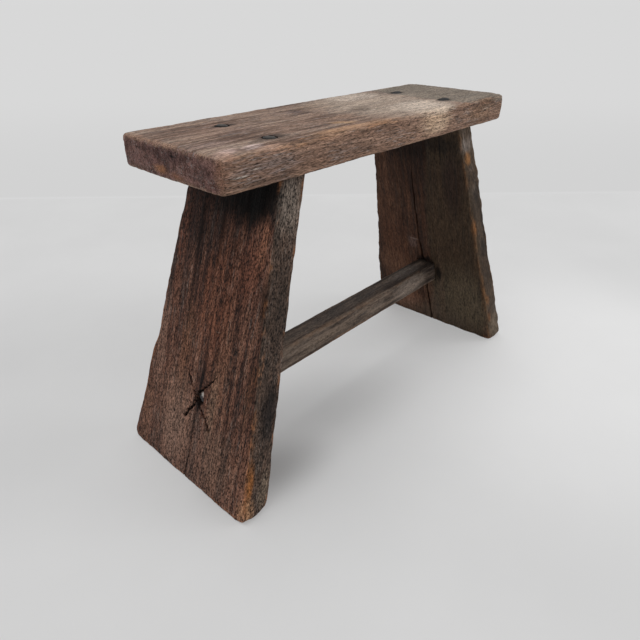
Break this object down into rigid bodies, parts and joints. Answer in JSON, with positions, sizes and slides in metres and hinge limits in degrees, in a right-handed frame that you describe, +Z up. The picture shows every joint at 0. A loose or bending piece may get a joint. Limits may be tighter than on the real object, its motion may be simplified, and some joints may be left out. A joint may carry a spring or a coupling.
{
  "type": "plank stool",
  "caption": "Low bench-like stool: a thick rectangular plank seat on splayed tapered board legs, joined low down by a square stretcher and fastened with iron nails.",
  "frame": {"origin": "on the floor, under the middle of the seat and between the feet", "axes": "+X along the seat to the right, +Y to the back across the seat, +Z up"},
  "size_m": [0.4578, 0.1855, 0.3141],
  "materials": {
    "seat_wood": "worn, sun-greyed brown hardwood, dry and unvarnished, with fine straight grain",
    "leg_wood": "dark reddish brown weathered hardwood, dry and unvarnished, darker towards the seat",
    "stretcher_wood": "grey-brown weathered hardwood with worn orange-brown arrises",
    "nail_iron": "forged iron, blackened and lightly rusted"
  },
  "bodies": {
    "root": {"seat_board": "seat_wood", "left_leg": "leg_wood", "right_leg": "leg_wood", "stretcher": "stretcher_wood", "seat_nail_left_back": "nail_iron", "seat_nail_left_front": "nail_iron", "seat_nail_right_back": "nail_iron", "seat_nail_right_front": "nail_iron", "stretcher_nail_left": "nail_iron", "stretcher_nail_right": "nail_iron"}
  },
  "joints": []
}
